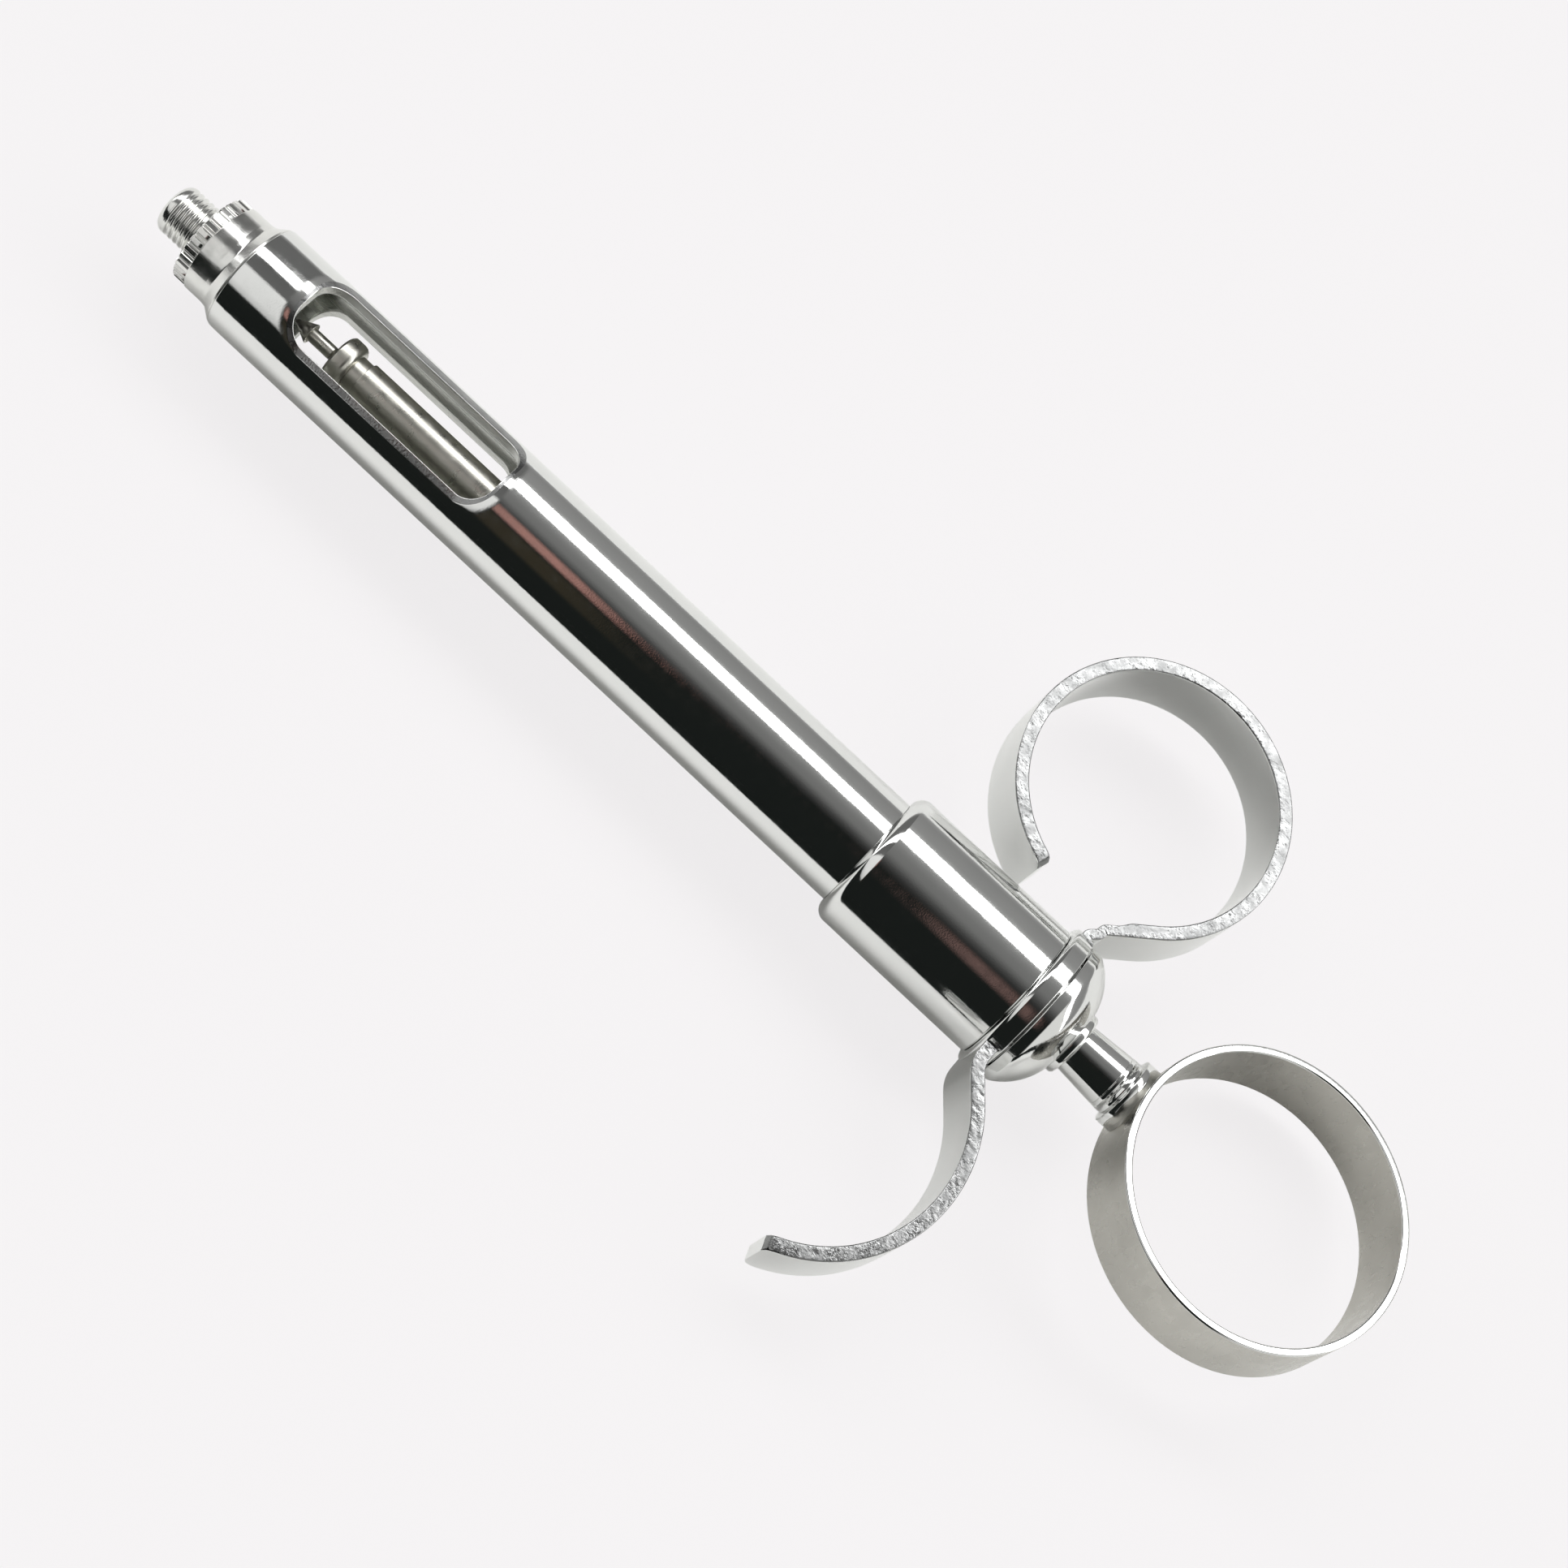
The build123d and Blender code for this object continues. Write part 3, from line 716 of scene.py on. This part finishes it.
def make_rear_cap():
    """Domed cap with its groove, rim and boss."""
    rim_front = PLATE_REAR + CAP_GROOVE_WIDTH
    rim_rear = rim_front + CAP_RIM_LENGTH
    start = np.array([rim_rear, CAP_R])
    end = np.array([CAP_REAR, CAP_DOME_END_D / 2])
    chord = unit(end - start)
    half = np.linalg.norm(end - start) / 2
    inward = np.array([chord[1], -chord[0]])
    centre = (start + end) / 2 + inward * math.sqrt(CAP_DOME_RADIUS ** 2 - half ** 2)
    first, last = (math.degrees(math.atan2(*(p - centre)[::-1])) for p in (start, end))
    dome = arc(centre, CAP_DOME_RADIUS, last, first, CAP_DOME_SPACING)
    bush_r = BUSH_COLLAR_R - BUSH_COLLAR_STEP
    corners = [
        (CAP_FRONT, bush_r, 0),
        (CAP_REAR, bush_r, 0),
        (CAP_REAR, CAP_DOME_END_D / 2 - 0.15, 0),
        *[(x, r, 0) for x, r in dome[1:-2]],
        (rim_rear, CAP_R, CAP_RIM_RADIUS),
        (rim_front + 0.4, CAP_R, 0),
        (rim_front, CAP_R, 0.12),
        (rim_front, CAP_GROOVE_D / 2, 0.05),
        (PLATE_REAR, CAP_GROOVE_D / 2, 0),
        (PLATE_REAR, CAP_BOSS_R, 0),
        (CAP_FRONT, CAP_BOSS_R, 0.1),
    ]
    shape = turned(Shape(), corners, steps=5)
    shape.piece("rear_cap_dome", "housing", [chrome], ["rear_cap"], "chrome")


def make_guide_bush():
    """Bush with its collar behind the cap."""
    bush_r = BUSH_COLLAR_R - BUSH_COLLAR_STEP
    shape = turned(Shape(), [
        (BUSH_FRONT, ROD_R + BUSH_ROD_FIT, 0),
        (BUSH_REAR, ROD_R + BUSH_ROD_FIT, 0.1),
        (BUSH_REAR, BUSH_COLLAR_R, BUSH_COLLAR_STEP),
        (CAP_REAR, BUSH_COLLAR_R, 0.08),
        (CAP_REAR, bush_r, 0),
        (BUSH_FRONT, bush_r, 0),
    ])
    shape.piece("guide_bush_collar", "housing", [chrome], ["guide_bush"], "chrome")


# Finger grip
def strip_grid(path, front, seed):
    """Grid of the strip's section along a path, with rough edges and a rounded free end."""
    half_t, half_w = STRIP_THICKNESS / 2, STRIP_WIDTH / 2
    sides = ((-1, -1), (1, -1), (1, 1), (-1, 1))
    section = rounded([(half_t * a, half_w * b, STRIP_CORNER_RADIUS) for a, b in sides], steps=3)
    section = divided(np.concatenate([section, section[:1]]), STRIP_SECTION_SPACING)[:-1]
    tangent = np.gradient(path, axis=0)
    tangent /= np.linalg.norm(tangent, axis=1, keepdims=True)
    side = np.stack([-tangent[:, 1], tangent[:, 0]], 1)
    steps = np.linalg.norm(np.diff(path, axis=0), axis=1)
    left = np.concatenate([np.cumsum(steps[::-1])[::-1], [0]])
    short = STRIP_END_RADIUS - np.minimum(left, STRIP_END_RADIUS)
    narrowed = half_w - STRIP_END_RADIUS + np.sqrt(STRIP_END_RADIUS ** 2 - short ** 2)
    grid = np.zeros((len(path), len(section), 3))
    for i, (x, y) in enumerate(path):
        across = np.where(section[:, 0] > 0, section[:, 0] * front[i] / half_t, section[:, 0])
        up = section[:, 1] * narrowed[i] / half_w
        grid[i, :, 0] = x + side[i, 0] * across
        grid[i, :, 1] = y + side[i, 1] * across
        grid[i, :, 2] = up
    edge = np.clip((np.abs(section[:, 1]) - (half_w - STRIP_ROUGH_BAND)) / 0.15, 0, 1)
    for j in np.flatnonzero(edge):
        for i in range(len(path)):
            p = Vector(grid[i, j])
            coarse = noise.noise(p * ROUGH_COARSE + Vector((seed, 0, 0)))
            rough = coarse + ROUGH_FINE_SHARE * noise.noise(p * ROUGH_FINE)
            grid[i, j, 2] -= math.copysign(abs(rough) * STRIP_ROUGHNESS * edge[j], section[j, 1])
    return grid, section


def add_strip(shape, path, front, seed):
    """Adds a strip along a path that starts inside the plate and ends free."""
    grid, section = strip_grid(path, front, seed)
    half_w = STRIP_WIDTH / 2
    shape.add_grid(grid[:, ::-1], slots=0)
    faces = len(section)
    start = len(shape.slots) - (len(path) - 1) * faces
    reverse = section[::-1]
    for k in range(start, len(shape.slots)):
        j = (k - start) % faces
        level = min(abs(reverse[j][1]), abs(reverse[(j + 1) % faces][1]))
        shape.slots[k] = 1 if level > half_w - 0.1 else 0
    for row, flip in ((0, False), (-1, True)):
        rim = grid[row]
        middle = rim.copy()
        middle[:, :2] = rim.mean(0)[:2]
        cap = np.array([rim, middle])
        direction = unit(np.append(path[-2] - path[-1] if flip else path[1] - path[0], 0))
        normals = np.full(cap.shape, -direction)
        shape.add_grid(cap if not flip else cap[:, ::-1], slots=0, normals=normals)


def ring_path():
    """Middle line of the finger ring and its stepped arm."""
    plate_middle = HOUSING_REAR + PLATE_THICKNESS / 2
    radius = (FINGER_RING_D - STRIP_THICKNESS) / 2
    centre = np.array([HOUSING_REAR - FINGER_RING_AHEAD, FINGER_RING_OFFSET])
    loop = arc(centre, radius, FINGER_RING_ARM_ANGLE, FINGER_RING_END_ANGLE, STRIP_SPACING)
    start = loop[0]
    heading = rotated(unit(start - centre), math.pi / 2)
    back = PLATE_REAR + RING_ARM_STEP_BACK - STRIP_THICKNESS / 2
    corner = start - heading * (start[0] - back) / heading[0]
    arm = rounded([
        (plate_middle, RING_ARM_STEP_FROM - STRIP_THICKNESS, 0),
        (plate_middle, RING_ARM_STEP_FROM, STRIP_THICKNESS / 2),
        (back, RING_ARM_STEP_FROM + RING_ARM_STEP_LENGTH, STRIP_THICKNESS / 2),
        (back, corner[1], STRIP_THICKNESS / 2),
        (start[0], start[1], 0),
    ], closed=False, steps=6)
    return np.concatenate([divided(arm, STRIP_SPACING)[:-1], loop])


def hook_path():
    """Middle line of the finger hook and its arm."""
    plate_middle = HOUSING_REAR + PLATE_THICKNESS / 2
    centre = np.array([HOUSING_REAR - HOOK_AHEAD, -HOOK_OFFSET])
    curve = arc(centre, HOOK_RADIUS, HOOK_ARM_ANGLE, HOOK_END_ANGLE, STRIP_SPACING)
    start = curve[0]
    heading = rotated(unit(start - centre), -math.pi / 2)
    corner = start - heading * (start[0] - plate_middle) / heading[0]
    arm = rounded([
        (plate_middle, HOOK_ARM_START, 0),
        (plate_middle, corner[1], STRIP_BEND_RADIUS),
        (start[0], start[1], 0),
    ], closed=False, steps=10)
    return np.concatenate([divided(arm, STRIP_SPACING)[:-1], curve])


def make_finger_grip():
    """Plate, finger ring and hook."""
    shape = turned(Shape(), [
        (HOUSING_REAR, PLATE_HOLE_R, 0.05),
        (PLATE_REAR, PLATE_HOLE_R, 0.05),
        (PLATE_REAR, PLATE_D / 2, 0.1),
        (HOUSING_REAR, PLATE_D / 2, PLATE_FRONT_RADIUS),
    ], steps=6)
    half = STRIP_THICKNESS / 2
    path = ring_path()
    relief_end = PLATE_D / 2 + RING_ARM_RELIEF_LENGTH
    relieved = np.interp(path[:, 1], (relief_end, relief_end + RING_ARM_RELIEF_RUNOUT), (RING_ARM_RELIEF, 0))
    on_arm = np.arange(len(path)) < len(path) // 4
    add_strip(shape, path, half - relieved * on_arm, 3.0)
    path = hook_path()
    add_strip(shape, path, np.full(len(path), half), 11.0)
    shape.piece("finger_grip_strip", "housing", [chrome, cut_edge], ["finger_grip"], "chrome")


# Plunger
def make_rod():
    """Plunger rod with its relieved neck."""
    neck_r = ROD_R - ROD_NECK_DEPTH
    neck_rear = ROD_FRONT + ROD_NECK_LENGTH
    shape = turned(Shape(), [
        (ROD_FRONT, ROD_TAP_R, 0),
        (ROD_REAR, ROD_TAP_R, 0),
        (ROD_REAR, ROD_R, 0.1),
        (neck_rear, ROD_R, 0.1),
        (neck_rear, neck_r, 0.05),
        (ROD_FRONT, neck_r, 0.05),
    ])
    shape.piece("plunger_rod_bar", "plunger", [rod_metal], ["plunger_rod"], "steel")


def make_tip():
    """Pushing disc at the rod's front."""
    disc_rear = ROD_FRONT
    screw_rear = disc_rear + TIP_SCREW_LENGTH
    shape = turned(Shape(), [
        (TIP_FRONT, TIP_HOLE_R, 0),
        (screw_rear, TIP_HOLE_R, 0),
        (screw_rear, TIP_SCREW_R, 0),
        (disc_rear, TIP_SCREW_R, 0),
        (disc_rear, TIP_R, TIP_REAR_RADIUS),
        (TIP_FRONT + TIP_FRONT_CHAMFER, TIP_R, 0.1),
        (TIP_FRONT, TIP_R - TIP_FRONT_CHAMFER, 0.08),
    ])
    shape.piece("plunger_tip_disc", "plunger", [rod_metal], ["plunger_tip"], "steel")


def make_harpoon():
    """Barbed pin ahead of the disc."""
    neck_front = TIP_FRONT - HARPOON_NECK_LENGTH
    barb_root = neck_front - HARPOON_SHAFT_LENGTH
    shape = turned(Shape(), [
        (HARPOON_REAR, 0, 0),
        (HARPOON_REAR, TIP_HOLE_R, 0),
        (TIP_FRONT, TIP_HOLE_R, 0),
        (TIP_FRONT, HARPOON_NECK_R, 0),
        (neck_front + HARPOON_NECK_RUNOUT, HARPOON_NECK_R, 0.05),
        (neck_front, HARPOON_SHAFT_R, 0.05),
        (barb_root, HARPOON_SHAFT_R, 0.05),
        (barb_root + HARPOON_BARB_UNDERCUT, HARPOON_R, 0.04),
        (HARPOON_FRONT, 0, 0),
    ], closed=False)
    shape.piece("harpoon_barb", "plunger", [rod_metal], ["harpoon"], "steel")


def make_sleeve():
    """Stop sleeve on the rod, with a fine seam near its rear."""
    seam = SLEEVE_REAR - SLEEVE_SEAM_AHEAD
    front_r = ROD_R + SLEEVE_FRONT_WALL
    rise = (SLEEVE_R - front_r) / (SLEEVE_REAR - SLEEVE_FRONT)
    seam_r = front_r + rise * (seam - SLEEVE_FRONT)
    shape = turned(Shape(), [
        (SLEEVE_FRONT, ROD_R, 0),
        (SLEEVE_REAR, ROD_R, 0),
        (SLEEVE_REAR, SLEEVE_R, 0),
        (SLEEVE_REAR - 0.3, SLEEVE_R - 0.02, 0),
        (seam + SLEEVE_SEAM_HALF, seam_r, 0.04),
        (seam, seam_r - SLEEVE_SEAM_DEPTH, 0.02),
        (seam - SLEEVE_SEAM_HALF, seam_r, 0.04),
        ((seam + SLEEVE_FRONT) / 2, (seam_r + front_r) / 2, 0),
        (SLEEVE_FRONT, front_r, 0.12),
    ])
    shape.piece("stop_sleeve_tube", "plunger", [chrome], ["stop_sleeve"], "chrome")


def saddle_warp(x, r, a):
    """Bends the boss's rear end to the thumb ring's curve."""
    off_axis = r * np.cos(a - math.radians(THUMB_RING_TURN))
    saddle = THUMB_RING_CENTRE - np.sqrt((THUMB_RING_D / 2) ** 2 - off_axis ** 2)
    return np.where(x > BOSS_REAR - 0.05, saddle, x), r


def make_ring_boss():
    """Flanged boss that carries the thumb ring."""
    neck_rear = BOSS_FRONT + BOSS_NECK_LENGTH
    shape = turned(Shape(), [
        (BOSS_FRONT, ROD_R, 0),
        (BOSS_REAR, ROD_R, 0),
        (BOSS_REAR, BOSS_R, 0),
        (neck_rear + BOSS_FLARE_LENGTH, BOSS_R, 0.12),
        (neck_rear, SLEEVE_R, 0.1),
        (BOSS_FRONT, SLEEVE_R, 0),
    ], warp=saddle_warp)
    shape.piece("ring_boss_flange", "plunger", [chrome], ["ring_boss"], "chrome")


def make_thumb_ring():
    """Thin wide band for the thumb."""
    outer = THUMB_RING_D / 2
    inner = outer - THUMB_RING_WALL
    half = THUMB_RING_WIDTH / 2
    edge = THUMB_RING_EDGE_RADIUS
    steps = 4
    rows = 4 * (steps + 1)
    inner_face, outer_face = steps, rows // 2 + steps
    shape = turned(
        Shape(),
        [(-half, inner, edge), (half, inner, edge), (half, outer, edge), (-half, outer, edge)],
        steps=steps,
        angles=np.linspace(0, 2 * math.pi, THUMB_RING_SIDES, endpoint=False),
        slots=[0 if i in (inner_face, outer_face) else 1 for i in range(rows)],
    )
    upright = Matrix.Rotation(math.radians(-90), 4, "Y")
    turn = Matrix.Rotation(math.radians(THUMB_RING_TURN), 4, "X")
    shape.moved(turn @ Matrix.Translation((THUMB_RING_CENTRE, 0, 0)) @ upright)
    shape.piece("thumb_ring_band", "plunger", [satin, chrome], ["thumb_ring"], "steel")


make_adapter()
make_barrel()
make_housing()
make_rear_cap()
make_guide_bush()
make_finger_grip()
make_rod()
make_tip()
make_harpoon()
make_sleeve()
make_ring_boss()
make_thumb_ring()

for node in ("cartridge_seat", "seat_spring", "spring_washer", "friction_ring"):
    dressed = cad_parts[node]
    dressed.data.materials.clear()
    dressed.data.materials.append(satin)


# Studio. A place in the room is a direction's share along X, and its lift in degrees, which is 0 towards -Y,
# 90 straight up and 180 towards +Y.
BACKGROUND = (0.922, 0.905, 0.913)
BLACK = (0.011, 0.013, 0.012)
DARK_BROWN = (0.035, 0.03, 0.02)
BROWN = (0.16, 0.1, 0.09)
WARM = (0.4, 0.21, 0.18)
PALE = (0.8, 0.8, 0.78)
LAMP = (4.6, 4.6, 4.6)
YELLOWED = 0.985
AHEAD = (-2, -0.2, 0.02)
ROOM = (
    (-180, 0.85), (-170, 0.4), (-30, 0.3), (-29, BLACK), (63, BLACK), (70, 0.035), (76, 0.07), (82, 0.13),
    (88, 0.18), (98, 0.2), (105, 0.24), (113, 0.34), (137, 0.4), (145, 0.3), (170, 0.26), (178, 0.32),
    (180, 0.85),
)
ROOM_AHEAD = (
    (-180, 0.85), (-170, 0.4), (-30, 0.3), (-29, BLACK), (29, BLACK), (32, 0.6), (44, 0.82), (76, 0.88),
    (80, 0.14), (106, 0.12), (112, 0.3), (130, 0.2), (137, 0.15), (170, 0.15), (176, 0.3), (180, 0.85),
)
ROOM_PATCHES = (
    (PALE, (0.55, 2, 0.1), (-29, 110, 4)),
    (DARK_BROWN, (-0.155, -0.09, 0.012), (28, 54, 4)),
    (WARM, (-0.155, -0.09, 0.012), (58, 72, 3)),
    (BROWN, (0.06, 0.1, 0.01), (48, 64, 4)),
    (LAMP, (-0.2, 2, 0.03), (114.5, 135.5, 1.5)),
    (LAMP, AHEAD, (107, 125, 1.5)),
)
FLOOR_HALF = 1.5
SHEET_EDGE = -0.0445
SHEET_EDGE_SOFT = 0.0015
SHEET_COLOUR = (0.94, 0.94, 0.925)
SHADE_COLOUR = (0.94, 0.925, 0.932)
BACKGROUND_SHARE = 0.88


def ramp_node(tree, value, stops):
    """Brightness from a value between -180 and 180, through (value, brightness) stops."""
    scaled = ranged(tree, value, -180, 180, 0, 1)
    node = tree.nodes.new("ShaderNodeValToRGB")
    ramp = node.color_ramp
    while len(ramp.elements) < len(stops):
        ramp.elements.new(0.5)
    for element, (place, shade) in zip(ramp.elements, stops):
        element.position = (place + 180) / 360
        level = shade if isinstance(shade, tuple) else (shade, shade, shade * YELLOWED)
        element.color = (*level, 1)
    tree.links.new(scaled, node.inputs["Fac"])
    return node.outputs["Color"]


def make_world():
    """Pale room with a dark side, a grey ceiling and a long lamp, seen only in reflections."""
    world = bpy.data.worlds.new("studio")
    bpy.context.scene.world = world
    world.use_nodes = True
    tree = world.node_tree
    nodes, links = tree.nodes, tree.links
    direction = nodes.new("ShaderNodeTexCoord").outputs["Generated"]
    parts = nodes.new("ShaderNodeSeparateXYZ")
    links.new(direction, parts.inputs["Vector"])

    def calculated(operation, a, b):
        node = nodes.new("ShaderNodeMath")
        node.operation = operation
        for k, value in enumerate((a, b)):
            if isinstance(value, (int, float)):
                node.inputs[k].default_value = value
            else:
                links.new(value, node.inputs[k])
        return node.outputs["Value"]

    def inside(value, low, high, soft):
        rise = ranged(tree, value, low - soft, low + soft, 0, 1)
        fall = ranged(tree, value, high - soft, high + soft, 1, 0)
        return calculated("MULTIPLY", rise, fall)

    def laid_over(under, over, share):
        mix = nodes.new("ShaderNodeMix")
        mix.data_type = "RGBA"
        links.new(share, mix.inputs["Factor"])
        links.new(under, mix.inputs["A"])
        if isinstance(over, tuple):
            mix.inputs["B"].default_value = (*over, 1)
        else:
            links.new(over, mix.inputs["B"])
        return mix.outputs["Result"]

    lift = calculated("ARCTAN2", parts.outputs["Z"], calculated("MULTIPLY", parts.outputs["Y"], -1.0))
    lift = calculated("MULTIPLY", lift, 180 / math.pi)
    along = parts.outputs["X"]
    colour = laid_over(ramp_node(tree, lift, ROOM), ramp_node(tree, lift, ROOM_AHEAD), inside(along, *AHEAD))
    for shade, stretch, rise in ROOM_PATCHES:
        share = calculated("MULTIPLY", inside(along, *stretch), inside(lift, *rise))
        colour = laid_over(colour, shade, share)
    room = nodes["Background"]
    links.new(colour, room.inputs["Color"])
    plain = nodes.new("ShaderNodeBackground")
    plain.inputs["Color"].default_value = (*BACKGROUND, 1)
    ray = nodes.new("ShaderNodeLightPath")
    mixed = nodes.new("ShaderNodeMixShader")
    links.new(ray.outputs["Is Camera Ray"], mixed.inputs["Fac"])
    links.new(room.outputs["Background"], mixed.inputs[1])
    links.new(plain.outputs["Background"], mixed.inputs[2])
    links.new(mixed.outputs["Shader"], nodes["World Output"].inputs["Surface"])


def make_floor():
    """White sheet under the syringe, lit by the room. Beyond its edge the reflections turn dark."""
    level = cad_low.z
    mesh = bpy.data.meshes.new("floor")
    sides = ((-1, -1), (1, -1), (1, 1), (-1, 1))
    corners = [(FLOOR_HALF * a, FLOOR_HALF * b, level) for a, b in sides]
    mesh.from_pydata(corners, [], [(0, 1, 2, 3)])
    floor = bpy.data.objects.new("floor", mesh)
    bpy.context.scene.collection.objects.link(floor)
    material = bpy.data.materials.new("floor")
    material.use_nodes = True
    tree = material.node_tree
    nodes, links = tree.nodes, tree.links
    nodes.remove(nodes["Principled BSDF"])
    place = nodes.new("ShaderNodeSeparateXYZ")
    links.new(nodes.new("ShaderNodeTexCoord").outputs["Object"], place.inputs["Vector"])
    dark_side, pale_side = SHEET_EDGE - SHEET_EDGE_SOFT, SHEET_EDGE + SHEET_EDGE_SOFT
    on_sheet = ranged(tree, place.outputs["Y"], dark_side, pale_side, 0, 1)
    sheet = nodes.new("ShaderNodeBsdfDiffuse")
    links.new(blended(tree, on_sheet, BLACK, SHEET_COLOUR), sheet.inputs["Color"])
    seen = nodes.new("ShaderNodeEmission")
    seen.inputs["Color"].default_value = (*BACKGROUND, 1)
    shadowed = nodes.new("ShaderNodeBsdfDiffuse")
    shadowed.inputs["Color"].default_value = (*SHADE_COLOUR, 1)
    ray = nodes.new("ShaderNodeLightPath")
    for_camera = nodes.new("ShaderNodeMixShader")
    for_camera.inputs["Fac"].default_value = BACKGROUND_SHARE
    links.new(shadowed.outputs["BSDF"], for_camera.inputs[1])
    links.new(seen.outputs["Emission"], for_camera.inputs[2])
    by_camera = nodes.new("ShaderNodeMixShader")
    links.new(ray.outputs["Is Camera Ray"], by_camera.inputs["Fac"])
    links.new(sheet.outputs["BSDF"], by_camera.inputs[1])
    links.new(for_camera.outputs["Shader"], by_camera.inputs[2])
    links.new(by_camera.outputs["Shader"], nodes["Material Output"].inputs["Surface"])
    mesh.materials.append(material)


# Camera
CAMERA_PLACE = (0.081405, -0.121712, 0.270015)
CAMERA_BACK = (0.01006, -0.40894, 0.91250)
CAMERA_ROLL = 41.76
FOCAL_PIXELS = 3701.1
IMAGE_PIXELS = 1932
SENSOR_MM = 36.0
CLIP_START = 0.01


def make_camera():
    """Camera at the photograph's place, rolled as the photograph is."""
    data = bpy.data.cameras.new("camera")
    data.sensor_width = SENSOR_MM
    data.lens = FOCAL_PIXELS / IMAGE_PIXELS * SENSOR_MM
    camera = bpy.data.objects.new("camera", data)
    bpy.context.scene.collection.objects.link(camera)
    turn = Vector(CAMERA_BACK).to_track_quat("Z", "Y").to_matrix()
    roll = Matrix.Rotation(math.radians(CAMERA_ROLL), 3, "Z")
    camera.matrix_world = Matrix.Translation(CAMERA_PLACE) @ (turn @ roll).to_4x4()
    data.clip_start = CLIP_START
    bpy.context.scene.camera = camera


make_world()
make_floor()
make_camera()
bpy.context.scene.view_settings.view_transform = "Standard"
